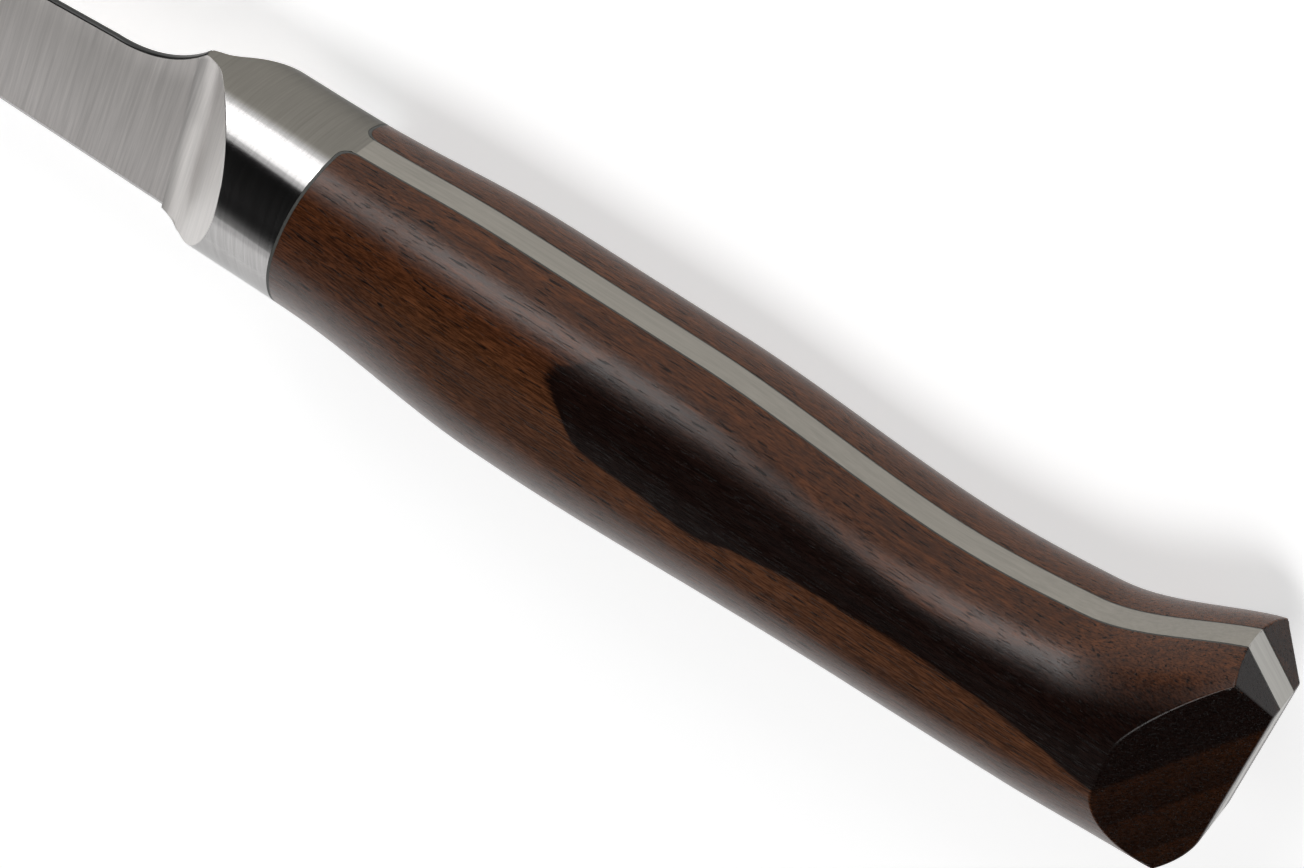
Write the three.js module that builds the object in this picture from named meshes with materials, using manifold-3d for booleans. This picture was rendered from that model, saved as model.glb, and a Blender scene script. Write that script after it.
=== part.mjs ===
// A fillet knife with a forged full tang. One steel forging is the blade, the bolster and the tang, and two
// wooden scales are bedded on the tang in adhesive over three hidden dowel pins.
//
// Millimetres. The knife lies on its right side, as it is put down on a board: +Z is up, X runs from the
// point to the butt, and Y from the cutting edge to the spine. Until the last lines X and Y are measured from
// the corner where the top of the bolster meets the scales, and Z from the middle plane of the blade.

import * as THREE from "three";
import { mergeVertices } from "three/addons/utils/BufferGeometryUtils.js";
import Module from "manifold-3d";

// Blade
const BLADE_LENGTH = 180; // point to the foot of the bolster
const EDGE_DEPTH = 24.2; // straight edge below the top of the bolster
const BLADE_HEIGHT = 18.4; // edge to spine beside the bolster
const POINT_RISE = 5.2; // point above the straight edge
const SPINE_CROWN = 0.2; // bulge of the spine over a straight line to the point
const CURVE_LENGTH = 78; // stretch of edge that curves up to the point
const CURVE_POWER = 2.4; // how late that stretch turns up
const SPINE_THICKNESS = 1.3; // beside the bolster
const EDGE_THICKNESS = 0.26; // behind the sharpened bevel
const BEVEL_ANGLE = 15; // of each sharpened side, degrees
const BEVEL_SHARE = 0.7; // most of the blade's height that the bevel may take, at the point
const SPINE_EASE = 0.25; // rounding of the spine's corners
const ROOT_BITE = 3.6; // how far the blade runs on into the bolster

// Bolster
const BOLSTER_LENGTH = 20.5; // foot of the bolster to the scales, along the top
const BOLSTER_FRONT_WIDTH = 18.2;
const BOLSTER_WIDTH = 19.8; // where it meets the scales
const RAMP_ANGLE = 45; // of the faces that spread from the blade to the bolster, degrees
const RAMP_FILLET = 6; // hollow at the foot of those faces
const PEAK_SETBACK = 1.1; // front corner of the bolster's top, behind the foot of the bolster
const PEAK_DROP = 0.5; // that corner below the top of the bolster
const SHOULDER_SETBACK = 6; // where the top levels out, behind the foot of the bolster
const SHOULDER_DROP = 0.1;
const THROAT_RADIUS = 16; // hollow between the spine and the front corner
const HEEL_DROP = 1.35; // heel of the bolster below the edge
const HEEL_LENGTH = 1.8; // over which it drops
const HEEL_LIFT = 0.3; // its start above the edge
const JOINT_DEPTH = 25.1; // bottom of the joint below the top of the bolster

// Handle
const HANDLE_LENGTH = 112.7; // scales to the end face, along the top
const TANG_THICKNESS = 3.1;
const GRIP_WIDTH = 21.9; // across the flats of the scales
const FLAT_GRIND = 0.3; // depth of those flats, ground off the rounded sides
const FULL_FROM = 26; // start of the full width, behind the bolster
const GRIP_DEPTH = 25.9; // deepest point of the belly below the top of the bolster
const BELLY_AT = 30; // that point behind the bolster
const WAIST_SHARE = 0.57; // height of the widest line, of the section's height
const CROWN_HEIGHT = 0.95; // rise of the back of the handle
const CROWN_FROM = 20; // stretch of that rise behind the bolster
const CROWN_TO = 45;
const DIP_DEPTH = 1; // dip of the back before the butt
const DIP_SETBACK = 37; // of that dip from the end face
const DIP_BELLY_DEPTH = 23.3; // belly under that dip, below the top of the bolster
const SWEEP_HEIGHT = 0.5; // back where it sweeps up to the butt
const SWEEP_SETBACK = 21; // of that sweep from the end face
const BUTT_RISE = 8.5; // top corner of the butt above the top of the bolster
const BUTT_DEPTH = 22.8; // bottom of the butt below the top of the bolster
const CHAMFER_SETBACK = 5.5; // slope that cuts the top corner of the butt
const CHAMFER_ANGLE = 40.7;
const BEVEL_TURN = 34.8; // side facets of the butt, degrees from the handle's length
const END_WIDTH = 6.1; // end face between the side facets
const END_SLANT = 1.9; // lean of the end face, degrees
const CORNER_RADIUS = 8; // lower corner of the butt

// Roundness of the sections: 2 is an ellipse, more is squarer and less is sharper
const FRONT_BACK_POWER = 2.75; // over the back, at the foot of the bolster
const GRIP_BACK_POWER = 2.5; // over the back of the grip
const BUTT_BACK_POWER = 2.2; // over the back, at the butt
const FRONT_BELLY_POWER = 1.38; // under the foot of the bolster
const JOINT_BELLY_POWER = 1.6; // under the joint
const GRIP_BELLY_POWER = 2; // under the grip

// Joint between steel and wood
const JOINT_SLANT = 6.7; // lean of the back of the bolster, degrees
const POCKET_RADIUS = 1.5; // inner corner between bolster and tang
const FRONT_BEDDING = 0.32; // thickness of adhesive behind the bolster
const SIDE_BEDDING = 0.14; // thickness of adhesive on the tang
const SEAM = 0.03; // space between adhesive and its neighbours
const PIN_DIAMETER = 4;
const PIN_BITE = 5; // depth of a pin in each scale
const PIN_PLAY = 0.2; // space round a pin and at its ends
const PIN_SETBACK = 20; // first pin behind the bolster, last pin before the end face

// Fineness of the facets
const SECTION_POINTS = 56;
const STATION_STEP = 4.5;
const ARC_STEPS = 10;
const CURVE_STEPS = 12;
const STRAIGHT_STEPS = 8;
const PIN_SIDES = 24;

const degrees = Math.PI / 180;
const REACH = 60; // cutting shapes stand this far clear of the knife
const OVERRUN = 1; // blanks run this far past the cuts that end them
const FUSE = 0.03; // how far the foot of the bolster is sunk into the blade that it grows from

// A smooth line through points [x, y] that bulges past none of them, straight beyond its ends.
function lineThrough(points) {
  const last = points.length - 1;
  const rise = (i) => (points[i + 1][1] - points[i][1]) / (points[i + 1][0] - points[i][0]);
  const slopes = points.map((point, i) => {
    if (i === 0) return rise(0);
    if (i === last) return rise(last - 1);
    const before = point[0] - points[i - 1][0];
    const after = points[i + 1][0] - point[0];
    if (rise(i - 1) * rise(i) <= 0) return 0;
    const share = (2 * after + before) / rise(i - 1) + (2 * before + after) / rise(i);
    return (3 * (before + after)) / share;
  });
  return (x) => {
    if (x <= points[0][0]) return points[0][1] + slopes[0] * (x - points[0][0]);
    if (x >= points[last][0]) return points[last][1] + slopes[last] * (x - points[last][0]);
    const i = points.findIndex((point) => point[0] > x) - 1;
    const span = points[i + 1][0] - points[i][0];
    const t = (x - points[i][0]) / span;
    const ease = t * t * (3 - 2 * t);
    const leave = t * (1 - t) * (1 - t) * span * slopes[i];
    const arrive = t * t * (t - 1) * span * slopes[i + 1];
    return points[i][1] * (1 - ease) + points[i + 1][1] * ease + leave + arrive;
  };
}

// Solids: three.js geometry in, joined and cut as closed bodies, three.js geometry out.
const wasm = await Module();
wasm.setup();

function solid(geometry) {
  geometry.deleteAttribute("normal");
  geometry.deleteAttribute("uv");
  const merged = mergeVertices(geometry, 1e-5);
  const vertProperties = new Float32Array(merged.attributes.position.array);
  const triVerts = new Uint32Array(merged.index.array);
  return new wasm.Manifold(new wasm.Mesh({ numProp: 3, vertProperties, triVerts }));
}

function geometryOf(body) {
  const mesh = body.getMesh();
  const geometry = new THREE.BufferGeometry();
  geometry.setAttribute("position", new THREE.BufferAttribute(mesh.vertProperties, 3));
  geometry.setIndex(new THREE.BufferAttribute(mesh.triVerts, 1));
  geometry.computeVertexNormals();
  return geometry;
}

// A skin over rings of points, closed by a fan at each end. Every ring turns the same way about X.
function loft(rings) {
  const count = rings[0].length;
  const points = rings.flat();
  const faces = [];
  const middle = (ring) => ring.reduce((sum, p) => sum.add(p), new THREE.Vector3()).divideScalar(count);
  const first = points.push(middle(rings[0])) - 1;
  const final = points.push(middle(rings.at(-1))) - 1;
  for (let i = 0; i < count; i++) {
    const j = (i + 1) % count;
    const top = (rings.length - 1) * count;
    faces.push(first, j, i, final, top + i, top + j);
    for (let ring = 0; ring < top; ring += count) {
      faces.push(ring + i, ring + j, ring + count + j, ring + i, ring + count + j, ring + count + i);
    }
  }
  const geometry = new THREE.BufferGeometry().setFromPoints(points);
  geometry.setIndex(faces);
  return geometry;
}

// A prism over a side outline (x, y), right through the knife.
function sidePrism(shape) {
  const geometry = new THREE.ExtrudeGeometry(shape, {
    depth: 2 * REACH,
    bevelEnabled: false,
    curveSegments: ARC_STEPS,
  });
  return geometry.translate(0, 0, -REACH);
}

// A prism over a plan outline (x, z), right through the knife from edge to spine.
function planPrism(shape) {
  return sidePrism(shape).rotateX(Math.PI / 2);
}

const shapeOf = (points) => new THREE.Shape(points.map(([x, y]) => new THREE.Vector2(x, y)));

// Blade: flat ground, so each side is one plane that leans from the edge to the spine.
const footX = -BOLSTER_LENGTH;
const pointX = footX - BLADE_LENGTH;
const peakX = footX + PEAK_SETBACK;
const lean = (SPINE_THICKNESS - EDGE_THICKNESS) / 2 / BLADE_HEIGHT;
const flatAt = (y) => EDGE_THICKNESS / 2 + lean * (y + EDGE_DEPTH);

// The hollow of the throat leaves the spine level and climbs to the front corner of the bolster.
const spineY = BLADE_HEIGHT - EDGE_DEPTH;
const climb = Math.acos(1 - (-PEAK_DROP - spineY) / THROAT_RADIUS);
const throatX = peakX - THROAT_RADIUS * Math.sin(climb);
const pointY = POINT_RISE - EDGE_DEPTH;
const spineLine = lineThrough([
  [pointX, pointY],
  [(throatX + pointX) / 2, (spineY + pointY) / 2 + SPINE_CROWN],
  [throatX, spineY],
]);

function spineAt(x) {
  if (x <= throatX) return spineLine(x);
  const run = Math.min(x, peakX) - throatX;
  return spineY + THROAT_RADIUS - Math.sqrt(THROAT_RADIUS ** 2 - run ** 2);
}

function edgeAt(x) {
  const curl = Math.max(0, 1 - (x - pointX) / CURVE_LENGTH);
  return POINT_RISE * curl ** CURVE_POWER - EDGE_DEPTH;
}

function bladeSection(x) {
  const grind = Math.tan(BEVEL_ANGLE * degrees);
  const edge = edgeAt(x);
  const spine = Math.max(spineAt(x), edge + SPINE_EASE);
  const bevelTop = (EDGE_THICKNESS / 2 + lean * EDGE_DEPTH + grind * edge) / (grind - lean);
  const bevel = Math.min(bevelTop, edge + BEVEL_SHARE * (spine - edge));
  const shoulder = Math.max(spine - SPINE_EASE, (spine + bevel) / 2);
  const half = (y) => Math.min(flatAt(y), grind * (y - edge));
  const right = [
    [bevel, -half(bevel)],
    [shoulder, -half(shoulder)],
    [spine, -Math.max(half(spine) - SPINE_EASE, half(spine) / 2)],
  ];
  const left = right.map(([y, z]) => [y, -z]).reverse();
  return [[edge, 0], ...right, ...left].map(([y, z]) => new THREE.Vector3(x, y, z));
}

function bladeStations() {
  const curveX = pointX + CURVE_LENGTH;
  const along = (from, to, steps, power) =>
    Array.from({ length: steps }, (_, i) => THREE.MathUtils.lerp(from, to, (i / steps) ** power));
  return [
    ...along(pointX, curveX, CURVE_STEPS, 2),
    ...along(curveX, throatX, STRAIGHT_STEPS, 1),
    ...along(throatX, peakX, ARC_STEPS, 1),
    peakX,
    footX + ROOT_BITE,
  ];
}

const blade = solid(loft(bladeStations().map(bladeSection)));

// Grip: one rounded form that the bolster, the tang and the scales share, trimmed at both ends.
const cornerX = HANDLE_LENGTH - CHAMFER_SETBACK;
const dipX = HANDLE_LENGTH - DIP_SETBACK;
const backLine = lineThrough([
  [peakX, FUSE - PEAK_DROP],
  [footX + SHOULDER_SETBACK, -SHOULDER_DROP],
  [0, 0],
  [CROWN_FROM, CROWN_HEIGHT],
  [CROWN_TO, CROWN_HEIGHT],
  [dipX, -DIP_DEPTH],
  [HANDLE_LENGTH - SWEEP_SETBACK, SWEEP_HEIGHT],
  [cornerX, BUTT_RISE],
]);
const bellyLine = lineThrough([
  [footX, HEEL_LIFT - EDGE_DEPTH],
  [footX + HEEL_LENGTH, -EDGE_DEPTH - HEEL_DROP],
  [0, -JOINT_DEPTH],
  [BELLY_AT, -GRIP_DEPTH],
  [dipX, -DIP_BELLY_DEPTH],
  [HANDLE_LENGTH, -BUTT_DEPTH],
]);
const roundWidth = GRIP_WIDTH + 2 * FLAT_GRIND;
const widthLine = lineThrough([
  [footX, BOLSTER_FRONT_WIDTH],
  [0, BOLSTER_WIDTH],
  [FULL_FROM, roundWidth],
  [HANDLE_LENGTH, roundWidth],
]);
const backPower = lineThrough([
  [footX, FRONT_BACK_POWER],
  [0, GRIP_BACK_POWER],
  [FULL_FROM, GRIP_BACK_POWER],
  [cornerX, BUTT_BACK_POWER],
]);
const bellyPower = lineThrough([
  [footX, FRONT_BELLY_POWER],
  [0, JOINT_BELLY_POWER],
  [FULL_FROM, GRIP_BELLY_POWER],
  [HANDLE_LENGTH, GRIP_BELLY_POWER],
]);

// An egg: squarer over the back, round under the belly, widest a little above the middle.
function gripSection(x) {
  const back = backLine(x);
  const belly = bellyLine(x);
  const waist = belly + WAIST_SHARE * (back - belly);
  const round = (value, power) => Math.sign(value) * Math.abs(value) ** (2 / power);
  return Array.from({ length: SECTION_POINTS }, (_, i) => {
    const turn = (2 * Math.PI * i) / SECTION_POINTS;
    const power = Math.sin(turn) > 0 ? backPower(x) : bellyPower(x);
    const height = Math.sin(turn) > 0 ? back - waist : waist - belly;
    const y = waist + height * round(Math.sin(turn), power);
    const z = (widthLine(x) / 2) * round(Math.cos(turn), power);
    return new THREE.Vector3(x, y, -z);
  });
}

function gripBlank() {
  const endX = HANDLE_LENGTH + OVERRUN;
  const steps = Math.round((endX - footX) / STATION_STEP);
  const stations = Array.from({ length: steps + 1 }, (_, i) => THREE.MathUtils.lerp(footX, endX, i / steps));
  return solid(loft(stations.map(gripSection)));
}

// Side outline of bolster and handle: hollow throat in front, sloped top and round lower corner at the butt.
function gripOutline() {
  const slope = Math.tan(CHAMFER_ANGLE * degrees);
  const outline = new THREE.Shape();
  outline.moveTo(footX - OVERRUN, -REACH);
  for (let i = 0; i <= ARC_STEPS; i++) {
    const x = THREE.MathUtils.lerp(footX - OVERRUN, peakX, i / ARC_STEPS);
    outline.lineTo(x, spineAt(x) - FUSE);
  }
  outline.lineTo(peakX, REACH);
  outline.lineTo(cornerX - (REACH - BUTT_RISE) / slope, REACH);
  const endY = BUTT_RISE - CHAMFER_SETBACK * slope;
  outline.lineTo(HANDLE_LENGTH, endY);
  const slant = END_SLANT * degrees;
  const arcY = CORNER_RADIUS - BUTT_DEPTH;
  const arcX = HANDLE_LENGTH - (endY - arcY) * Math.tan(slant) - CORNER_RADIUS / Math.cos(slant);
  outline.absarc(arcX, arcY, CORNER_RADIUS, -slant, -Math.PI / 2, true);
  outline.lineTo(arcX, -REACH);
  return solid(sidePrism(outline));
}

// The flats that the handle lies on.
function sideFlats() {
  return solid(new THREE.BoxGeometry(2 * (HANDLE_LENGTH + REACH), 2 * REACH, GRIP_WIDTH));
}

// Plan outline of the butt: two facets that close in on the narrow end face.
function buttFacets() {
  const spread = Math.tan(BEVEL_TURN * degrees);
  const pastX = HANDLE_LENGTH + OVERRUN;
  const half = END_WIDTH / 2 - OVERRUN * spread;
  const wide = half + REACH * spread;
  const side = [
    [pastX, half],
    [pastX - REACH, wide],
    [footX - REACH, wide],
  ];
  const other = side.map(([x, z]) => [x, -z]).reverse();
  return solid(planPrism(shapeOf([...side, ...other])));
}

// One face of the bolster: it leaves the flat of the blade in a hollow fillet and spreads in a straight ramp.
function rampFace(side) {
  const plan = [
    [footX - OVERRUN, -REACH],
    [footX - OVERRUN, 0],
  ];
  for (let i = 0; i <= ARC_STEPS; i++) {
    const turn = (RAMP_ANGLE * degrees * i) / ARC_STEPS;
    plan.push([footX + RAMP_FILLET * Math.sin(turn), RAMP_FILLET * (1 - Math.cos(turn))]);
  }
  const [liftX, liftZ] = plan.at(-1);
  plan.push([liftX + REACH / 2 / Math.tan(RAMP_ANGLE * degrees), liftZ + REACH / 2]);
  plan.push([HANDLE_LENGTH + REACH, REACH], [HANDLE_LENGTH + REACH, -REACH]);
  const prism = planPrism(shapeOf(plan.map(([x, z]) => [x, side * z])));
  prism.applyMatrix4(new THREE.Matrix4().makeShear(0, 0, 0, side * lean, 0, 0));
  return solid(prism.translate(0, 0, side * (flatAt(0) - FUSE)));
}

// The room for one scale behind the bolster and beside the tang, drawn in from both.
function pocket(side, fromBolster, fromTang) {
  const wallZ = TANG_THICKNESS / 2 + fromTang;
  const plan = [[fromBolster, REACH]];
  for (let i = 0; i <= ARC_STEPS; i++) {
    const turn = ((Math.PI / 2) * i) / ARC_STEPS;
    const backX = fromBolster + POCKET_RADIUS * (1 - Math.cos(turn));
    plan.push([backX, wallZ + POCKET_RADIUS * (1 - Math.sin(turn))]);
  }
  plan.push([HANDLE_LENGTH + REACH, wallZ], [HANDLE_LENGTH + REACH, REACH]);
  const prism = planPrism(shapeOf(plan.map(([x, z]) => [x, side * z])));
  prism.applyMatrix4(new THREE.Matrix4().makeShear(0, 0, Math.tan(JOINT_SLANT * degrees), 0, 0, 0));
  return solid(prism);
}

// Dowel pins, level with the middle of the grip.
const pinReach = TANG_THICKNESS / 2 + PIN_BITE;
const pinXs = {
  front_pin: PIN_SETBACK,
  middle_pin: HANDLE_LENGTH / 2,
  rear_pin: HANDLE_LENGTH - PIN_SETBACK,
};

function rod(x, radius, reach) {
  const geometry = new THREE.CylinderGeometry(radius, radius, 2 * reach, PIN_SIDES);
  return geometry.rotateX(Math.PI / 2).translate(x, (backLine(x) + bellyLine(x)) / 2, 0);
}

const pinHoles = Object.values(pinXs)
  .map((x) => solid(rod(x, PIN_DIAMETER / 2 + PIN_PLAY, pinReach + PIN_PLAY)))
  .reduce((holes, hole) => holes.add(hole));

// The pieces.
const grip = gripBlank().intersect(gripOutline()).intersect(sideFlats()).intersect(buttFacets());

function forging() {
  const bolster = grip.intersect(rampFace(1)).intersect(rampFace(-1));
  const body = bolster.subtract(pocket(1, 0, 0)).subtract(pocket(-1, 0, 0)).add(blade);
  return geometryOf(body.subtract(pinHoles));
}

function scale(side) {
  const seat = pocket(side, FRONT_BEDDING + 2 * SEAM, SIDE_BEDDING + 2 * SEAM);
  return geometryOf(grip.intersect(seat).subtract(pinHoles));
}

function bedding(side) {
  const outer = pocket(side, SEAM, SEAM);
  const inner = pocket(side, SEAM + FRONT_BEDDING, SEAM + SIDE_BEDDING);
  return geometryOf(grip.intersect(outer).subtract(inner).subtract(pinHoles));
}

const steel = new THREE.MeshStandardMaterial({ color: 0xa9a6a1, roughness: 0.32, metalness: 1 });
const pinSteel = new THREE.MeshStandardMaterial({ color: 0x8f8f8d, roughness: 0.45, metalness: 1 });
const stainedBeech = new THREE.MeshStandardMaterial({ color: 0x4a2a1c, roughness: 0.42, metalness: 0 });
const adhesive = new THREE.MeshStandardMaterial({ color: 0x4b4c49, roughness: 0.5, metalness: 0 });

const knife = new THREE.Group();

function addPiece(name, geometry, material) {
  const mesh = new THREE.Mesh(geometry, material);
  mesh.name = name;
  knife.add(mesh);
}

addPiece("forged_blade", forging(), steel);
addPiece("left_bedding", bedding(1), adhesive);
addPiece("right_bedding", bedding(-1), adhesive);
addPiece("left_scale", scale(1), stainedBeech);
addPiece("right_scale", scale(-1), stainedBeech);
for (const [name, x] of Object.entries(pinXs)) {
  addPiece(name, rod(x, PIN_DIAMETER / 2, pinReach), pinSteel);
}

// The origin lies under the middle of the knife, on the board.
const box = new THREE.Box3().setFromObject(knife);
const centre = box.getCenter(new THREE.Vector3());
knife.position.set(-centre.x, -centre.y, -box.min.z);

export default knife;
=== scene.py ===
import math

import bpy
import numpy as np
from mathutils import Matrix, Vector


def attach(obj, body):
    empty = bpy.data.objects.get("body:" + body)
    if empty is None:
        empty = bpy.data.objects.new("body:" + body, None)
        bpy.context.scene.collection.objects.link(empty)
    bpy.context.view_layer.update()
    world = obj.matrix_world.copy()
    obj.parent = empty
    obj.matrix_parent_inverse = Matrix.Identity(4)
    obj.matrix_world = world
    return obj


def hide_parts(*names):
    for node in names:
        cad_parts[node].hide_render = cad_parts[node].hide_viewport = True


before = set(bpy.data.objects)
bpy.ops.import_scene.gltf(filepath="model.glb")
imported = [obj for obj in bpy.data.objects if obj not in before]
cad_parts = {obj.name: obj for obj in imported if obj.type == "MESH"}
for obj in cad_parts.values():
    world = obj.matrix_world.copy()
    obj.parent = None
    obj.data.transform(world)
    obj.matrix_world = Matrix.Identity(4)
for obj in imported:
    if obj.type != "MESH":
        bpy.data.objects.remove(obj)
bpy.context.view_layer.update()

# The forging: blade, bolster and tang in one length of stainless steel. It is drop forged, the blade and the
# faces that spread from it are ground to a satin, and the bolster is polished with the scales already on.
# Lengths are in millimetres from the corner where the top of the bolster meets the scales.
joint_corner = np.array((43.9, 8.713963, 10.95))
blade_length = 180
edge_y = -24.2
spine_y = -5.8
point_rise = 5.2
point_depth = 0.25
edge_curve, curve_power = 78, 2.4
spine_half = 0.42
spine_ease = 0.25
edge_half = 0.13
bevel_grind = math.tan(math.radians(15))
bevel_most = 0.7
foot_x = -20.5
peak_x = foot_x + 1.1
peak_y = -0.5
throat_radius = 16
ramp_radius = 6
ramp_turn = math.radians(45)
ramp_shift, ramp_lean, ramp_middle = 0.44, 0.066, -12
foot_rise, foot_drop = 0.3, 0.36
cap_gap = 0.08
lens_ease = 0.13
tang_half = 1.55
joint_lean = math.tan(math.radians(6.7))
seat_radius = 1.5
handle_end = 112.7
corner_x, corner_y = 107.2, 8.5
chamfer_slope = math.tan(math.radians(40.7))
end_lean = math.tan(math.radians(1.9))
end_y = corner_y - (handle_end - corner_x) * chamfer_slope
heel_radius = 8
butt_y = -22.8
waist_share = 0.57
side_flat, flat_ease = 10.95, 0.12
joint_search, butt_search = 9, 60


def smooth_line(*points):
    """A line through points that bulges past none of them, straight beyond its ends."""
    xs, ys = np.array(points, float).T
    run = np.diff(xs)
    rise = np.diff(ys) / run
    slope = np.concatenate((rise[:1], np.zeros(len(run) - 1), rise[-1:]))
    for i in range(1, len(run)):
        if rise[i - 1] * rise[i] > 0:
            share = (2 * run[i] + run[i - 1]) / rise[i - 1] + (2 * run[i - 1] + run[i]) / rise[i]
            slope[i] = 3 * (run[i - 1] + run[i]) / share

    def line(x):
        i = np.clip(np.searchsorted(xs, x, side="right") - 1, 0, len(run) - 1)
        t = np.clip((x - xs[i]) / run[i], 0, 1)
        ease = t * t * (3 - 2 * t)
        swing = run[i] * (t * (1 - t) ** 2 * slope[i] + t * t * (t - 1) * slope[i + 1])
        beyond = np.minimum(x - xs[0], 0) * slope[0] + np.maximum(x - xs[-1], 0) * slope[-1]
        return ys[i] * (1 - ease) + ys[i + 1] * ease + swing + beyond

    return line


back_line = smooth_line((peak_x, peak_y), (foot_x + 6, -0.1), (0, 0), (20, 0.95), (45, 0.95), (75.7, -1),
                        (91.7, 0.5), (corner_x, corner_y))
belly_line = smooth_line((foot_x, edge_y + 0.3), (foot_x + 1.8, edge_y - 1.5), (0, -25.36), (30, -25.9),
                         (75.7, -23.3), (handle_end, butt_y))
width_line = smooth_line((foot_x, 18.2), (0, 19.8), (26, 22.5), (handle_end, 22.5))
back_power = smooth_line((foot_x, 2.75), (0, 2.5), (26, 2.5), (corner_x, 2.2))
belly_power = smooth_line((foot_x, 1.6), (0, 1.6), (26, 2), (handle_end, 2))


def grip(x, turn):
    """Height and side of the handle's egg at a turn from its widest line, a quarter turn being its back.
    Its sides are ground flat."""
    back, belly = back_line(x), belly_line(x)
    waist = belly + waist_share * (back - belly)
    upper = np.sin(turn) > 0
    power = np.where(upper, back_power(x), belly_power(x))
    height = np.where(upper, back - waist, waist - belly)
    y = waist + height * np.sign(np.sin(turn)) * np.abs(np.sin(turn)) ** (2 / power)
    z = width_line(x) / 2 * np.maximum(np.cos(turn), 0) ** (2 / power)
    return y, z - flat_ease * np.log1p(np.exp((z - side_flat) / flat_ease))


def turn_at(x, z, power):
    """Turn of the egg, from its widest line, at a distance from the middle plane."""
    return np.arccos(np.clip(2 * z / width_line(x), 0, 1) ** (power(x) / 2))


def crossing(test, low, high):
    """Where a test turns positive between two limits."""
    low, high = np.broadcast_arrays(np.array(low, float), np.array(high, float))
    for _ in range(48):
        middle = (low + high) / 2
        past = test(middle) > 0
        low, high = np.where(past, low, middle), np.where(past, middle, high)
    return (low + high) / 2


class Skin:
    """Faces gathered patch by patch, on both sides of the knife or on one. Points that meet are shared, and chosen
    edges are eased when the piece is built."""

    crease_angle = math.radians(28)

    def __init__(self, sides=(1, -1)):
        self.sides = sides
        self.points = {}
        self.faces = []
        self.finishes = []
        self.eased = set()

    def numbers(self, line, side):
        places = np.round(np.asarray(line) * (1, 1, side), 4) + 0.0
        return [self.points.setdefault(tuple(place), len(self.points)) for place in places.tolist()]

    def add(self, loop, finish):
        loop = [at for i, at in enumerate(loop) if at != loop[i - 1]]
        if len(set(loop)) == len(loop) > 2:
            self.faces.append(loop)
            self.finishes.append(finish)

    def face(self, line, finish):
        for side in self.sides:
            self.add(self.numbers(line, side)[::side], finish)

    def patch(self, grid, finish):
        for side in self.sides:
            rows = [self.numbers(row, side) for row in grid]
            for row, above in zip(rows, rows[1:]):
                for i in range(len(row) - 1):
                    self.add([row[i], row[i + 1], above[i + 1], above[i]][::side], finish)

    def ease(self, line):
        for side in self.sides:
            ends = self.numbers(line, side)
            self.eased |= {frozenset(pair) for pair in zip(ends, ends[1:])}

    def build(self, name, materials, easing):
        mesh = bpy.data.meshes.new(name)
        mesh.from_pydata(((np.array(list(self.points)) + joint_corner) / 1000).tolist(), [], self.faces)
        for material in materials:
            mesh.materials.append(material)
        mesh.polygons.foreach_set("material_index", self.finishes)
        mesh.shade_smooth()
        mesh.set_sharp_from_angle(angle=self.crease_angle)
        piece = bpy.data.objects.new(name, mesh)
        bpy.context.scene.collection.objects.link(piece)
        if self.eased:
            weight = [float(frozenset(edge.vertices) in self.eased) for edge in mesh.edges]
            mesh.attributes.new("bevel_weight_edge", "FLOAT", "EDGE").data.foreach_set("value", weight)
            round_over = piece.modifiers.new("eased_edges", "BEVEL")
            round_over.limit_method = "WEIGHT"
            round_over.width = easing / 1000
            round_over.segments = 3
            round_over.use_clamp_overlap = False
            round_over.harden_normals = True
        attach(piece, "root")
        return piece


def stack(x, y, z):
    """Points from their three coordinates."""
    return np.stack(np.broadcast_arrays(np.asarray(x, float), y, z), axis=-1)


def between(a, b, steps):
    """Rows of points from one line of points to another."""
    share = np.linspace(0, 1, steps + 1)[:, None, None]
    return a * (1 - share) + b * share


forging = Skin()
# The spine's finish and the tang's finish carry painted shade: their steel is coloured darker than the blade's.
satin, polish, spine_painted_shade, tang_painted_shade, butt_satin, ramp_satin = range(6)

# Blade of the forging: flat ground sides, a sharpened bevel and a spine with eased corners.
lean = (spine_half - edge_half) / (spine_y - edge_y)
point_x = foot_x - blade_length
throat_x = peak_x - math.sqrt(throat_radius**2 - (throat_radius - peak_y + spine_y) ** 2)
spine_line = smooth_line((point_x, edge_y + point_rise),
                         ((point_x + throat_x) / 2, (edge_y + point_rise + spine_y) / 2 + 0.2),
                         (throat_x, spine_y))


def flat_half(y):
    """Half thickness of the blade between its bevel and its spine."""
    return edge_half + lean * (y - edge_y)


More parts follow.
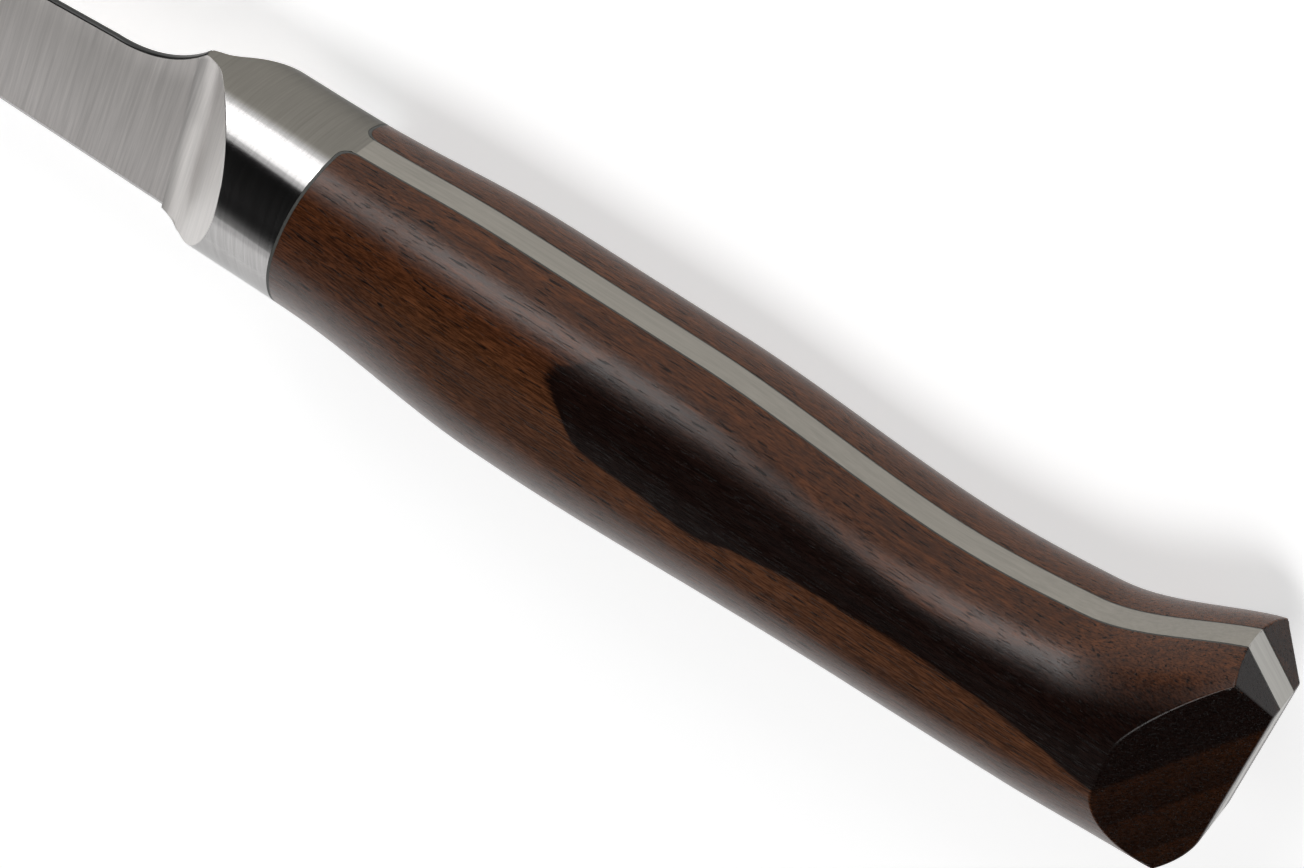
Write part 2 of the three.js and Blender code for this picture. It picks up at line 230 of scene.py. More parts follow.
def blade_rows():
    """Rows along one side of the blade, from the point to the bolster: bevel, flat and eased spine."""
    curve = point_x + edge_curve * np.linspace(0, 1, 40) ** 2
    straight = np.linspace(point_x + edge_curve, throat_x, 30)[1:]
    throat = np.linspace(throat_x, peak_x, 25)[1:]
    x = np.concatenate((curve, straight, throat))
    hollow = throat_radius - np.sqrt(throat_radius**2 - np.clip(x - throat_x, 0, None) ** 2)
    edge = edge_y + point_rise * np.clip(1 - (x - point_x) / edge_curve, 0, None) ** curve_power
    spine = np.maximum(np.where(x < throat_x, spine_line(x), spine_y + hollow), edge + point_depth)
    bevel = (edge_half - lean * edge_y + bevel_grind * edge) / (bevel_grind - lean)
    bevel = np.minimum(bevel, edge + bevel_most * (spine - edge))
    shoulder = np.maximum(spine - spine_ease, (spine + bevel) / 2)
    half = np.minimum(flat_half(shoulder), bevel_grind * (shoulder - edge))
    eased = np.maximum(half - spine_ease, half / 3)
    bevel_z = np.minimum(flat_half(bevel), bevel_grind * (bevel - edge))
    bevel_strip = np.stack((stack(x, edge, 0), stack(x, bevel, bevel_z)))
    flats = between(bevel_strip[1], stack(x, shoulder, half), 6)
    turns = np.linspace(0, math.pi / 2, 5)[:, None]
    round_spine = stack(x, shoulder + (spine - shoulder) * np.sin(turns), eased + (half - eased) * np.cos(turns))
    top = np.concatenate((round_spine, stack(x, spine, 0)[None]))
    return bevel_strip, flats, top


bevel_strip, flats, top = blade_rows()
forging.patch(bevel_strip, polish)
forging.patch(flats, satin)
# The spine's eased corners and top take the near-black steel, a painted shade.
forging.patch(top, spine_painted_shade)

# Bolster of the forging: it spreads from the blade in a hollow fillet and a straight ramp, and its polished
# skin runs back to the joint, where a rounded corner leads each side into the tang.
strip_z = np.array((0, 0.5, 1.0, 1.35, 1.5, tang_half))
corner_turns = np.radians(np.linspace(80, 0, 9))
rim_z = np.concatenate((strip_z, tang_half + seat_radius * (1 - np.sin(corner_turns))))


def ramp_foot(y):
    """Where the blade starts to spread."""
    return foot_x - ramp_shift + ramp_lean * (y - ramp_middle)


def ramp_half(x, y):
    """Half width of the blade where it spreads into the bolster."""
    reach = ramp_radius * math.sin(ramp_turn)
    along = x - ramp_foot(y)
    hollow = ramp_radius - np.sqrt(ramp_radius**2 - np.clip(along, 0, reach) ** 2)
    return flat_half(y) + hollow + np.maximum(along - reach, 0) * math.tan(ramp_turn)


def seat_x(y, z, from_bolster, from_tang):
    """The joint behind the bolster: a leaning face with a round corner at the tang."""
    depth = np.clip(1 - (z - tang_half - from_tang) / seat_radius, 0, 1)
    return joint_lean * y + from_bolster + seat_radius * (1 - np.sqrt(1 - depth**2))


def seat_rows(edge, from_bolster, from_tang, steps=5):
    """Across the seat of a scale, from points on the handle's skin to the side of the tang."""
    wall = tang_half + from_tang
    rows = [edge]
    for corner in np.radians(np.linspace(0, 90, steps)):
        z = np.minimum(edge[:, 2], wall + seat_radius * (1 - math.sin(corner)))
        rows.append(stack(seat_x(edge[:, 1], z, from_bolster, from_tang), edge[:, 1], z))
    return np.array(rows)


def rim_turns(power, sign):
    """Turns at which the handle's skin meets the joint, out from the middle plane."""

    def gap(x):
        y, z = grip(x, sign * turn_at(x, rim_z, power))
        return x - seat_x(y, z, 0, 0)

    x = crossing(gap, -joint_search, joint_search)
    return sign * turn_at(x, rim_z, power)


below, above = rim_turns(belly_power, -1), rim_turns(back_power, 1)[::-1]
around = np.concatenate((below, np.linspace(below[-1], above[0], 110)[1:-1], above))


def seat_gap(x):
    y, z = grip(x, around)
    return x - seat_x(y, z, 0, 0)


def ramp_gap(x):
    y, z = grip(x, around)
    return ramp_half(x, y) - z


skin_back = crossing(seat_gap, -joint_search, joint_search)
skin_start = np.where(around > 0, peak_x, foot_x)
skin_front = crossing(ramp_gap, skin_start, skin_back)
shares = np.linspace(0, 1, 49)[:, None]
skin_x = skin_front + (skin_back - skin_front) * shares
skin = stack(skin_x, *grip(skin_x, around))
forging.patch(skin, polish)

on_ramp = skin_front > skin_start + 1e-5
lens = skin[0][on_ramp]
foot_share = (lens[:, 1] - lens[0, 1]) / (lens[-1, 1] - lens[0, 1])
throat_y = spine_y + throat_radius - math.sqrt(throat_radius**2 - (foot_x - throat_x) ** 2)
foot_y = edge_y + foot_rise + (throat_y - foot_drop - edge_y - foot_rise) * foot_share
foot = stack(ramp_foot(foot_y), foot_y, 0)
ramp = between(foot, lens, 28)
ramp[:-1, :, 2] = ramp_half(ramp[:-1, :, 0], ramp[:-1, :, 1])
forging.patch(ramp, ramp_satin)
forging.ease(lens)
cap = ramp[:, -1]
cap_x = np.clip(cap[:, 0] - throat_x, 0, peak_x - throat_x)
cap_y = np.minimum(spine_y + throat_radius - np.sqrt(throat_radius**2 - cap_x**2),
                   grip(np.maximum(cap[:, 0], peak_x), math.pi / 2)[0])
forging.patch(np.stack((cap, stack(cap[:, 0], np.maximum(cap[:, 1], cap_y - cap_gap), 0))), ramp_satin)
seat = seat_rows(skin[-1][skin[-1][:, 2] > tang_half - 1e-4], 0, 0)
forging.patch(seat, polish)

# Tang of the forging: one flat bar whose edge shows as a steel strip right round the handle, between the scales.
# It is ground with them, and stays within the heights of the solid.
strip_low, strip_high = -25.895, 8.467


def strip_y(x, z, sign):
    """Height of the handle's skin at a distance from the middle plane, on the back or the belly."""
    return grip(x, sign * turn_at(x, z, back_power if sign > 0 else belly_power))[0]


def end_x(y):
    """Side outline of the butt: sloped top, end face and round lower corner."""
    arc_y = butt_y + heel_radius
    face = handle_end - (end_y - y) * end_lean
    arc_x = handle_end - (end_y - arc_y) * end_lean - heel_radius
    round_x = arc_x + np.sqrt(np.clip(heel_radius**2 - (arc_y - y) ** 2, 0, None))
    return np.where(y > end_y, corner_x + (corner_y - y) / chamfer_slope, np.where(y > arc_y, face, round_x))


def strip_rows():
    """Rows across half the strip, along the back, down the butt and along the belly."""
    top_x = skin_back[::-1][: len(strip_z)]
    top_end = crossing(lambda x: x - end_x(strip_y(x, strip_z, 1)), top_x, handle_end)
    x = top_x + (top_end - top_x) * np.linspace(0, 1, 140)[:, None]
    back = stack(x, strip_y(x, strip_z, 1), strip_z)
    low_x = skin_back[: len(strip_z)]
    low_end = crossing(lambda x: x - end_x(strip_y(x, strip_z, -1)), low_x, handle_end)
    x = low_end + (low_x - low_end) * np.linspace(0, 1, 140)[:, None]
    belly = stack(x, strip_y(x, strip_z, -1), strip_z)
    y = np.concatenate((back[-1, :, 1] + (end_y - back[-1, :, 1]) * np.linspace(0, 1, 10)[:, None],
                        end_y + (belly[0, :, 1] - end_y) * np.linspace(0, 1, 90)[1:, None]))
    butt = stack(end_x(y), y, strip_z)
    butt[0], butt[-1] = back[-1], belly[0]
    for row in (back, butt, belly):
        row[..., 1] = np.clip(row[..., 1], strip_low, strip_high)
    return back, butt, belly


strip_back, strip_butt, strip_belly = strip_rows()
# The tang's strip takes steel coloured darker than the blade's, a painted shade.
forging.patch(strip_back, tang_painted_shade)
forging.patch(strip_butt, butt_satin)
forging.patch(strip_belly, tang_painted_shade)
wall = np.concatenate((strip_back[:, -1], strip_butt[1:, -1], strip_belly[1:, -1], seat[-1][1:]))
forging.face(wall, tang_painted_shade)


def brushed_steel(name, colour, roughness, lines, slant, spread, along, edge_on=1):
    """Ground steel with fine lines in its colour, gloss and relief. Lines count per metre on each axis."""
    material = bpy.data.materials.new(name)
    material.use_nodes = True
    nodes, links = material.node_tree.nodes, material.node_tree.links
    surface = nodes["Principled BSDF"]
    surface.inputs["Metallic"].default_value = 1
    surface.inputs["Specular Tint"].default_value = (edge_on, edge_on, edge_on, 1)
    surface.inputs["Anisotropic"].default_value = spread
    surface.inputs["Anisotropic Rotation"].default_value = 0 if along else 0.25
    round_axis = nodes.new("ShaderNodeTangent")
    round_axis.direction_type, round_axis.axis = "RADIAL", "X"
    links.new(round_axis.outputs["Tangent"], surface.inputs["Tangent"])
    place = nodes.new("ShaderNodeTexCoord")
    turned = nodes.new("ShaderNodeMapping")
    turned.inputs["Rotation"].default_value = (0, 0, math.radians(slant))
    links.new(place.outputs["Object"], turned.inputs["Vector"])
    drawn = nodes.new("ShaderNodeVectorMath")
    drawn.operation = "MULTIPLY"
    drawn.inputs[1].default_value = lines
    links.new(turned.outputs["Vector"], drawn.inputs[0])
    scratches = nodes.new("ShaderNodeTexNoise")
    scratches.inputs["Scale"].default_value = 1
    scratches.inputs["Detail"].default_value = 4
    scratches.inputs["Roughness"].default_value = 0.7
    links.new(drawn.outputs["Vector"], scratches.inputs["Vector"])
    tone = nodes.new("ShaderNodeValToRGB")
    tone.color_ramp.elements[0].position = 0.3
    tone.color_ramp.elements[1].position = 0.7
    for element, times in zip(tone.color_ramp.elements, (0.86, 1.1)):
        element.color = (*(times * part for part in colour), 1)
    links.new(scratches.outputs["Fac"], tone.inputs["Fac"])
    links.new(tone.outputs["Color"], surface.inputs["Base Color"])
    gloss = nodes.new("ShaderNodeMapRange")
    gloss.inputs["To Min"].default_value = roughness * 0.8
    gloss.inputs["To Max"].default_value = roughness * 1.2
    links.new(scratches.outputs["Fac"], gloss.inputs["Value"])
    links.new(gloss.outputs["Result"], surface.inputs["Roughness"])
    relief = nodes.new("ShaderNodeBump")
    relief.inputs["Strength"].default_value = 0.35
    relief.inputs["Distance"].default_value = 0.00001
    links.new(scratches.outputs["Fac"], relief.inputs["Height"])
    links.new(relief.outputs["Normal"], surface.inputs["Normal"])
    return material


def fade(material, direction, start, stop, colour_times, roughness):
    """Fades a finish into another one along a direction, between two distances from the joint's corner, multiplying
    its colour and setting its roughness. The colour change is painted light on the blade and painted shade on the
    bolster's top.
    """
    nodes, links = material.node_tree.nodes, material.node_tree.links
    surface = nodes["Principled BSDF"]
    distance = nodes.new("ShaderNodeVectorMath")
    distance.operation = "DOT_PRODUCT"
    distance.inputs[1].default_value = 1000 * np.array(direction)
    links.new(nodes["Texture Coordinate"].outputs["Object"], distance.inputs[0])
    share = nodes.new("ShaderNodeMapRange")
    share.interpolation_type = "SMOOTHSTEP"
    share.inputs["From Min"].default_value = joint_corner @ direction + start
    share.inputs["From Max"].default_value = joint_corner @ direction + stop
    links.new(distance.outputs["Value"], share.inputs["Value"])
    tone = nodes.new("ShaderNodeMix")
    tone.data_type, tone.blend_type = "RGBA", "MULTIPLY"
    tone.inputs[7].default_value = (*colour_times, 1)
    gloss = nodes.new("ShaderNodeMix")
    gloss.inputs[3].default_value = roughness
    for socket, mix, first, out in (("Base Color", tone, 6, 2), ("Roughness", gloss, 2, 0)):
        links.new(share.outputs["Result"], mix.inputs[0])
        links.new(surface.inputs[socket].links[0].from_socket, mix.inputs[first])
        links.new(mix.outputs[out], surface.inputs[socket])


# The blade's colour grows a fifth lighter from the spine down to the edge: painted light, a brighter reflection put
# into the steel's colour.
blade_with_painted_light = brushed_steel("satin_blade_painted_light", (0.635, 0.61, 0.592), 0.6, lines=(2600, 60, 300), slant=8, spread=0.5,
                             along=False, edge_on=0.05)
fade(blade_with_painted_light, (0, -1, 0), -spine_y, -edge_y, colour_times=(1.2, 1.2, 1.21), roughness=0.6)
# The bolster's top fades to a rougher satin, which is real, and to a far darker colour, which is painted shade: a
# dimmer reflection put into the steel's colour.
polish_with_painted_shade_top = brushed_steel("polished_bolster_painted_shade_top", (0.49, 0.48, 0.475), 0.15, lines=(3500, 90, 90), slant=0,
                               spread=0.35, along=False, edge_on=0.64)
fade(polish_with_painted_shade_top, (0, 1, -0.25), -1.95, -1.2, colour_times=(0.38, 0.367, 0.326), roughness=0.36)
steel_finishes = (
    blade_with_painted_light,
    polish_with_painted_shade_top,
    # The spine's crosswise grind is real; its near-black colour is painted shade.
    brushed_steel("ground_spine_painted_shade", (0.05, 0.05, 0.049), 0.36, lines=(80, 2500, 2500), slant=0, spread=0.4, along=True),
    # The tang's lengthwise grind is real; its colour, darker than the blade's steel, is painted shade.
    brushed_steel("satin_tang_painted_shade", (0.262, 0.246, 0.216), 0.36, lines=(90, 3000, 3000), slant=0, spread=0.4, along=True),
    brushed_steel("satin_butt", (0.38, 0.37, 0.348), 0.33, lines=(90, 90, 3800), slant=0, spread=0.5, along=True),
    brushed_steel("satin_ramp", (0.62, 0.597, 0.579), 0.4, lines=(2600, 60, 300), slant=8, spread=0.5, along=False),
)
knife = forging.build("forging", steel_finishes, lens_ease)
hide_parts("forged_blade")

# The dowels: three short drawn steel pins, driven through the tang. Each end stands in a blind hole in a scale
# and keeps it from sliding while the adhesive sets, so none of them shows.
drawn_pin = brushed_steel("drawn_pin", (0.5, 0.49, 0.48), 0.28, lines=(2500, 2500, 60), slant=0, spread=0.3,
                          along=False)
for pin in ("front_pin", "middle_pin", "rear_pin"):
    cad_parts[pin].data.materials.clear()
    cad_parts[pin].data.materials.append(drawn_pin)

# The beddings: dark grey adhesive, spread on both sides of the tang and behind the bolster. What squeezes out is
# sanded off with the handle and leaves a thin band at the bolster and a hairline beside the tang.
# Each side of the film is given by its distances from the bolster and from the tang.
bedding_steel = (0.03, 0.03)
bedding_wood = (0.35, 0.17)
flush, deep = 0.02, 1.2
grip_half = 12


def rim(from_bolster, from_tang, inset):
    """Once round a scale's edge on the handle's skin, or below it: joint, belly, butt and back."""
    wall = tang_half + from_tang
    share = np.linspace(0, 1, 120)

    def skin_at(x):
        top, low = turn_at(x, wall, back_power), -turn_at(x, wall, belly_power)
        return grip(x, top + (low - top) * share)

    x = crossing(lambda x: x - seat_x(*skin_at(x), from_bolster, from_tang), -joint_search, joint_search)
    y, z = skin_at(x)
    waist = belly_line(x) + waist_share * (back_line(x) - belly_line(x))
    shrink = 1 - inset / grip_half
    y, z = waist + (y - waist) * shrink, np.maximum(z * shrink, wall)
    joint = stack(seat_x(y, z, from_bolster, from_tang), y, z)
    ends = [crossing(lambda x: x - end_x(strip_y(x, wall, sign)), butt_search, handle_end) for sign in (-1, 1)]
    x = np.linspace(joint[-1, 0], ends[0] - inset, 90)[1:]
    belly = stack(x, strip_y(x, wall, -1) + inset, wall)
    x = np.linspace(ends[1] - inset, joint[0, 0], 90)[:-1]
    back = stack(x, strip_y(x, wall, 1) - inset, wall)
    y = np.linspace(belly[-1, 1], back[0, 1], 90)[1:-1]
    butt = stack(end_x(y) - inset, y, wall)
    return np.concatenate((joint, belly, butt, back, joint[:1]))


def adhesive(name):
    """Set adhesive: matt dark grey with a fine cloudy filler."""
    material = bpy.data.materials.new(name)
    material.use_nodes = True
    nodes, links = material.node_tree.nodes, material.node_tree.links
    place = nodes.new("ShaderNodeTexCoord")
    filler = nodes.new("ShaderNodeTexNoise")
    filler.inputs["Scale"].default_value = 2600
    filler.inputs["Detail"].default_value = 3
    links.new(place.outputs["Object"], filler.inputs["Vector"])
    tone = nodes.new("ShaderNodeValToRGB")
    tone.color_ramp.elements[0].color = (0.028, 0.029, 0.026, 1)
    tone.color_ramp.elements[1].color = (0.075, 0.077, 0.07, 1)
    links.new(filler.outputs["Fac"], tone.inputs["Fac"])
    links.new(tone.outputs["Color"], nodes["Principled BSDF"].inputs["Base Color"])
    nodes["Principled BSDF"].inputs["Roughness"].default_value = 0.6
    return material


set_adhesive = adhesive("set_adhesive")
for side, name in ((1, "left"), (-1, "right")):
    bead = Skin(sides=(side,))
    bead.patch((rim(*bedding_steel, flush), rim(*bedding_wood, flush), rim(*bedding_wood, deep),
                rim(*bedding_steel, deep), rim(*bedding_steel, flush)), 0)
    bead = bead.build(name + "_adhesive", (set_adhesive,), easing=0)
    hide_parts(name + "_bedding")

# The scales: two slabs of dark stained hardwood, bedded on the tang and shaped with it. Facets are sawn across the
# butt after glue-up, and the whole handle is sanded, so only the facets' edges are crisp.
bevel_turn = math.tan(math.radians(34.8))
end_half = 3.05
facet_ease = 0.2
wood_gap = (0.38, 0.20)
columns, least_columns = 150, 6


def facet_z(x):
    """Side facet of the butt."""
    return end_half + (handle_end - x) * bevel_turn


def scale_rows(from_bolster, from_tang):
    """Rows across one scale from back to belly: seat, skin, side facet and end, each ending on the tang's side.
    With them come the rows of the facet's two edges and the column of the edge above the end."""
    wall = tang_half + from_tang

    def skin_at(x, share):
        top, low = turn_at(x, wall, back_power), -turn_at(x, wall, belly_power)
        return grip(x, top + (low - top) * share)

    def outline_end(share):
        return crossing(lambda x: x - end_x(skin_at(x, share)[0]), butt_search, handle_end)

    def facet_end(share):
        return crossing(lambda x: skin_at(x, share)[1] - facet_z(x), butt_search, handle_end + joint_search)

    def last_x(share):
        return np.minimum(outline_end(share), facet_end(share))

    top_corner = crossing(lambda t: outline_end(t) - facet_end(t), 0.0, 0.4)
    low_corner = crossing(lambda t: facet_end(t) - outline_end(t), 0.5, 1.0)
    end_row = crossing(lambda t: end_y - skin_at(last_x(t), t)[0], 0.0, 0.6)
    stops = sorted((0.0, float(top_corner), float(end_row), float(low_corner), 1.0))
    runs = [np.linspace(a, b, max(least_columns, round(columns * (b - a))), endpoint=False)
            for a, b in zip(stops, stops[1:])]
    share = np.concatenate(runs + [[1.0]])

    def gap(x):
        return x - seat_x(*skin_at(x, share), from_bolster, from_tang)

    front = crossing(gap, -joint_search, joint_search)
    last = last_x(share)
    x = front + (last - front) * np.linspace(0, 1, 170)[:, None]
    skin = stack(x, *skin_at(x, share))
    last_y = skin[-1][:, 1]
    face_x = np.maximum(end_x(last_y), skin[-1][:, 0])
    face_z = np.minimum(facet_z(face_x), skin[-1][:, 2])
    crease = stack(face_x, last_y, np.maximum(face_z, wall))
    facet = between(skin[-1], crease, 6)[1:]
    end = between(crease, stack(face_x, last_y, wall), 3)[1:]
    seat = seat_rows(skin[0], from_bolster, from_tang)[::-1]
    grid = np.concatenate((seat[:-1], skin, facet, end))
    edge_row, crease_row = len(seat) - 1 + len(skin) - 1, len(grid) - len(end) - 1
    return grid, edge_row, crease_row, int(np.argmin(np.abs(share - float(end_row))))


wood_grid, edge_row, crease_row, end_column = scale_rows(*wood_gap)


def stained_wood(name, ring_lean, boundary, heart_from, heart_to):
    """Dark stained hardwood. Growth rings lie across the slab, and one band of heartwood starts at a sharp line
    and fades out towards the tang. Over them run fine fibres and short dark pores, along the handle."""
    material = bpy.data.materials.new(name)
    material.use_nodes = True
    nodes, links = material.node_tree.nodes, material.node_tree.links
    surface = nodes["Principled BSDF"]

    def node(kind, **settings):
        made = nodes.new("ShaderNode" + kind)
        for key, value in settings.items():
            setattr(made, key, value)
        return made

    def feed(sockets, values):
        for socket, value in zip(sockets, values):
            if isinstance(value, (int, float, tuple)):
                socket.default_value = value
            else:
                links.new(value, socket)

    def math_node(operation, *values):
        made = node("Math", operation=operation)
        feed(made.inputs, values)
        return made.outputs[0]

    def noise(scale, detail, roughness=0.5):
        drawn = node("VectorMath", operation="MULTIPLY")
        drawn.inputs[1].default_value = scale
        links.new(place, drawn.inputs[0])
        made = node("TexNoise")
        made.inputs["Scale"].default_value = 1
        made.inputs["Detail"].default_value = detail
        made.inputs["Roughness"].default_value = roughness
        links.new(drawn.outputs[0], made.inputs["Vector"])
        return made.outputs["Fac"]

    def ramp(value, *stops):
        made = node("ValToRGB")
        while len(made.color_ramp.elements) < len(stops):
            made.color_ramp.elements.new(0.5)
        for element, (at, colour) in zip(made.color_ramp.elements, stops):
            element.position, element.color = at, (*colour, 1)
        links.new(value, made.inputs["Fac"])
        return made.outputs["Color"]

    def span(value, low, high):
        made = node("MapRange", interpolation_type="SMOOTHSTEP")
        made.inputs["From Min"].default_value, made.inputs["From Max"].default_value = low, high
        links.new(value, made.inputs["Value"])
        return made.outputs[0]

    def mix(kind, share, first, second):
        made = node("Mix", data_type="RGBA", blend_type=kind)
        feed((made.inputs[0], made.inputs[6], made.inputs[7]), (share, first, second))
        return made.outputs[2]

    millimetres = node("Mapping")
    millimetres.inputs["Scale"].default_value = (1000, 1000, 1000)
    millimetres.inputs["Location"].default_value = -joint_corner
    links.new(node("TexCoord").outputs["Object"], millimetres.inputs["Vector"])
    place = millimetres.outputs["Vector"]
    across = node("VectorMath", operation="DOT_PRODUCT")
    across.inputs[1].default_value = ring_lean
    links.new(place, across.inputs[0])
    split = node("SeparateXYZ")
    links.new(place, split.inputs[0])
    line = node("FloatCurve")
    curve = line.mapping.curves[0]
    line_length, line_height = 120.0, 10.0
    spots = [(at / line_length, height / line_height) for at, height in boundary]
    for spot in spots[1:-1]:
        curve.points.new(*spot)
    curve.points[0].location, curve.points[-1].location = spots[0], spots[-1]
    line.mapping.update()
    links.new(math_node("DIVIDE", split.outputs["X"], line_length), line.inputs["Value"])
    sway = math_node("MULTIPLY", noise((0.05, 0.2, 0.2), 2), 0.5)
    ragged = math_node("MULTIPLY", noise((0.5, 2.5, 2.5), 3), 0.2)
    swayed = math_node("ADD", math_node("ADD", across.outputs["Value"], sway), ragged)
    depth = math_node("SUBTRACT", swayed, math_node("MULTIPLY_ADD", line.outputs[0], line_height, 0.35))
    facing = node("SeparateXYZ")
    links.new(node("NewGeometry").outputs["Normal"], facing.inputs[0])
    end_grain = span(facing.outputs["X"], 0.25, 0.5)
    heart = math_node("MULTIPLY", span(depth, 0.0, 0.2),
                      math_node("MAXIMUM", span(split.outputs["Z"], heart_from, heart_to), end_grain))
    ring_width = 3.6
    ring = math_node("FRACT", math_node("DIVIDE", depth, ring_width))
    rings = ramp(ring, (0.0, (0.45, 0.42, 0.4)), (0.3, (0.6, 0.58, 0.56)), (0.7, (1, 1, 1)),
                 (0.93, (1.15, 1.12, 1.1)), (1.0, (0.5, 0.48, 0.46)))
    brown = ramp(math_node("DIVIDE", split.outputs["Z"], 12.0), (0.12, (0.08, 0.025, 0.006)),
                 (0.45, (0.065, 0.021, 0.0065)), (0.8, (0.06, 0.019, 0.0065)), (0.93, (0.075, 0.028, 0.011)))
    ringed = mix("MULTIPLY", math_node("MULTIPLY_ADD", end_grain, 0.55, 0.3), brown, rings)
    stained = mix("MULTIPLY", math_node("MULTIPLY", end_grain, 0.9), ringed, (0.25, 0.24, 0.24, 1))
    figured = mix("MIX", heart, stained, (0.006, 0.0019, 0.0011, 1))
    fibre = noise((0.07, 2.2, 2.2), 5, 0.65)
    fibres = ramp(fibre, (0.3, (0.52, 0.48, 0.45)), (0.7, (1.45, 1.45, 1.45)))
    fleck = noise((0.7, 5.5, 5.5), 3, 0.6)
    flecks = ramp(fleck, (0.33, (0.5, 0.47, 0.45)), (0.52, (1.04, 1.04, 1.04)), (0.7, (1.65, 1.6, 1.55)))
    grain = mix("MULTIPLY", 1.0, mix("MULTIPLY", 1.0, figured, fibres), flecks)
    pore = span(noise((0.34, 5.2, 5.2), 1, 0.4), 0.635, 0.662)
    pores = mix("MIX", math_node("MULTIPLY", pore, 0.9), grain, (0.004, 0.002, 0.0015, 1))
    links.new(pores, surface.inputs["Base Color"])
    gloss = node("MapRange")
    gloss.inputs["To Min"].default_value = 0.21
    gloss.inputs["To Max"].default_value = 0.34
    links.new(fleck, gloss.inputs["Value"])
    links.new(gloss.outputs[0], surface.inputs["Roughness"])
    links.new(math_node("MULTIPLY_ADD", pore, -0.09, 0.24), surface.inputs["Specular IOR Level"])
    relief = node("Bump")
    relief.inputs["Strength"].default_value = 0.6
    relief.inputs["Distance"].default_value = 0.000022
    height = math_node("SUBTRACT", math_node("ADD", fleck, fibre), math_node("MULTIPLY", pore, 0.6))
    links.new(height, relief.inputs["Height"])
    links.new(relief.outputs["Normal"], surface.inputs["Normal"])
    return material


def wood_scale(name, side, material):
    """One scale: its skin, facets and end, closed by the flat that is bedded on the tang."""
    scale = Skin(sides=(side,))
    scale.patch(wood_grid, 0)
    scale.face(np.concatenate((wood_grid[:, 0], wood_grid[-1, 1:], wood_grid[::-1, -1][1:],
                               wood_grid[0, ::-1][1:-1])), 0)
    scale.ease(wood_grid[edge_row])
    scale.ease(wood_grid[crease_row])
    scale.ease(wood_grid[crease_row:, end_column])
    piece = scale.build(name + "_wood", (material,), facet_ease)
    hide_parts(name)


left_boundary = ((0, 8.2), (24, 7.4), (33, 6.8), (35.7, 6.3), (37.2, 5.6), (41, 4.7), (47, 4.55), (52.5, 4.2),
                 (59, 4.85), (66, 5.4), (74, 5.6), (82, 5.7), (92, 5.4), (101, 4.45), (113, 3.7))
right_boundary = ((0, 9), (60, 8.4), (113, 8.8))
left_wood = stained_wood("left_stained_wood", (0, 0.486, 0.874), left_boundary, heart_from=5, heart_to=9.8)
right_wood = stained_wood("right_stained_wood", (0, 0.486, -0.874), right_boundary, heart_from=40, heart_to=50)
wood_scale("left_scale", 1, left_wood)
wood_scale("right_scale", -1, right_wood)

# The floor: a plain white sheet that the knife lies on. It shows white to the eye and in the steel, and keeps
# the knife's soft shadow.
floor_mesh = bpy.data.meshes.new("floor")
reach = 8
glow_strength = 0.5
floor_mesh.from_pydata([(-reach, -reach, 0), (reach, -reach, 0), (reach, reach, 0), (-reach, reach, 0)], [],
                       [(0, 1, 2, 3)])
floor = bpy.data.objects.new("floor", floor_mesh)
bpy.context.scene.collection.objects.link(floor)
white_sheet = bpy.data.materials.new("white_sheet")
white_sheet.use_nodes = True
nodes, links = white_sheet.node_tree.nodes, white_sheet.node_tree.links
sheet = nodes["Principled BSDF"]
sheet.inputs["Base Color"].default_value = (0.8, 0.8, 0.8, 1)
sheet.inputs["Roughness"].default_value = 0.95
sheet.inputs["Specular IOR Level"].default_value = 0
sheet.inputs["Emission Color"].default_value = (1, 1, 1, 1)
ray = nodes.new("ShaderNodeLightPath")
seen = ray.outputs["Is Camera Ray"]
for kind in ("Is Glossy Ray", "Is Transmission Ray"):
    either = nodes.new("ShaderNodeMath")
    either.operation = "MAXIMUM"
    links.new(seen, either.inputs[0])
    links.new(ray.outputs[kind], either.inputs[1])
    seen = either.outputs[0]
glow = nodes.new("ShaderNodeMath")
glow.operation = "MULTIPLY"
glow.inputs[1].default_value = glow_strength
links.new(seen, glow.inputs[0])
links.new(glow.outputs[0], sheet.inputs["Emission Strength"])
floor_mesh.materials.append(white_sheet)

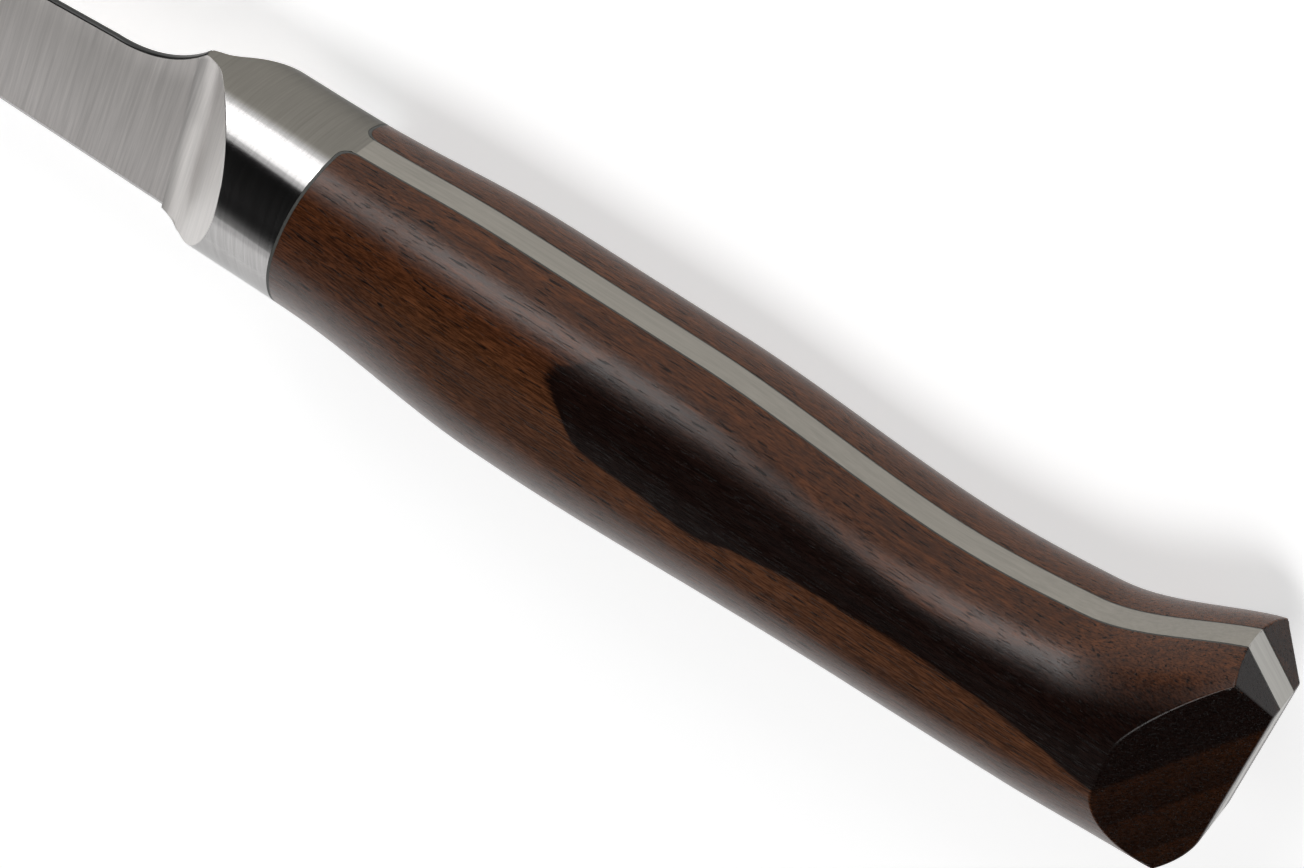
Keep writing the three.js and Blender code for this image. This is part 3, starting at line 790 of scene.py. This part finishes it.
# Studio light: a tall soft box with a brighter core on the spine side, a wide pale one on the edge side that fades
# upwards, one beyond the point for the satin of the blade and one overhead, in a dark room.
lamp_aim = Vector((0.05, 0, 0.01))
world = bpy.data.worlds.new("studio")
bpy.context.scene.world = world
world.use_nodes = True
room = world.node_tree.nodes["Background"]
room.inputs["Color"].default_value = (1, 1, 1, 1)
room.inputs["Strength"].default_value = 0.006


def soft_box(name, azimuth, low, high, width, brightness, distance=1.4):
    """A lamp that faces the bolster and spans two elevations, in degrees."""
    middle = math.radians((low + high) / 2)
    height = 2 * distance * math.tan(math.radians(high - low) / 2)
    turn = math.radians(azimuth)
    away = Vector((math.cos(turn) * math.cos(middle), math.sin(turn) * math.cos(middle), math.sin(middle)))
    lamp = bpy.data.lights.new(name, "AREA")
    lamp.shape = "RECTANGLE"
    lamp.size, lamp.size_y = width, height
    lamp.energy = brightness * math.pi * width * height
    box = bpy.data.objects.new(name, lamp)
    bpy.context.scene.collection.objects.link(box)
    box.location = lamp_aim + away * distance
    box.rotation_euler = away.to_track_quat("Z", "Y").to_euler()
    box.visible_camera = False


soft_box("spine_box_core", 108, 8, 32, 0.66, 6)
soft_box("spine_box", 121, -1, 41, 0.7, 2.05)
soft_box("spine_box_fade", 121, 41, 49, 0.7, 0.8)
soft_box("edge_box", -118, -1, 22, 1.9, 1.02)
soft_box("edge_box_middle", -118, 22, 32, 1.9, 0.7)
soft_box("edge_box_fade", -118, 32, 39, 1.9, 0.3)
soft_box("point_box", -162, 22, 46, 0.8, 1.4)
soft_box("overhead_box", -18, 53, 80, 0.7, 6)

# The camera: a long lens close over the butt, looking down along the handle towards the blade.
lens_data = bpy.data.cameras.new("camera")
lens_data.sensor_width = 36
lens_data.lens = 98.98
lens_data.clip_start = 0.01
camera = bpy.data.objects.new("camera", lens_data)
bpy.context.scene.collection.objects.link(camera)
right, up, back = (0.81024, 0.22674, -0.54046), (-0.52397, 0.69341, -0.49460), (0.26261, 0.68393, 0.68064)
place = (joint_corner + (140.23, 242.80, 254.27)) / 1000
camera.matrix_world = Matrix.Translation(Vector(place)) @ Matrix((right, up, back)).transposed().to_4x4()
bpy.context.scene.camera = camera
bpy.context.scene.view_settings.view_transform = "Standard"
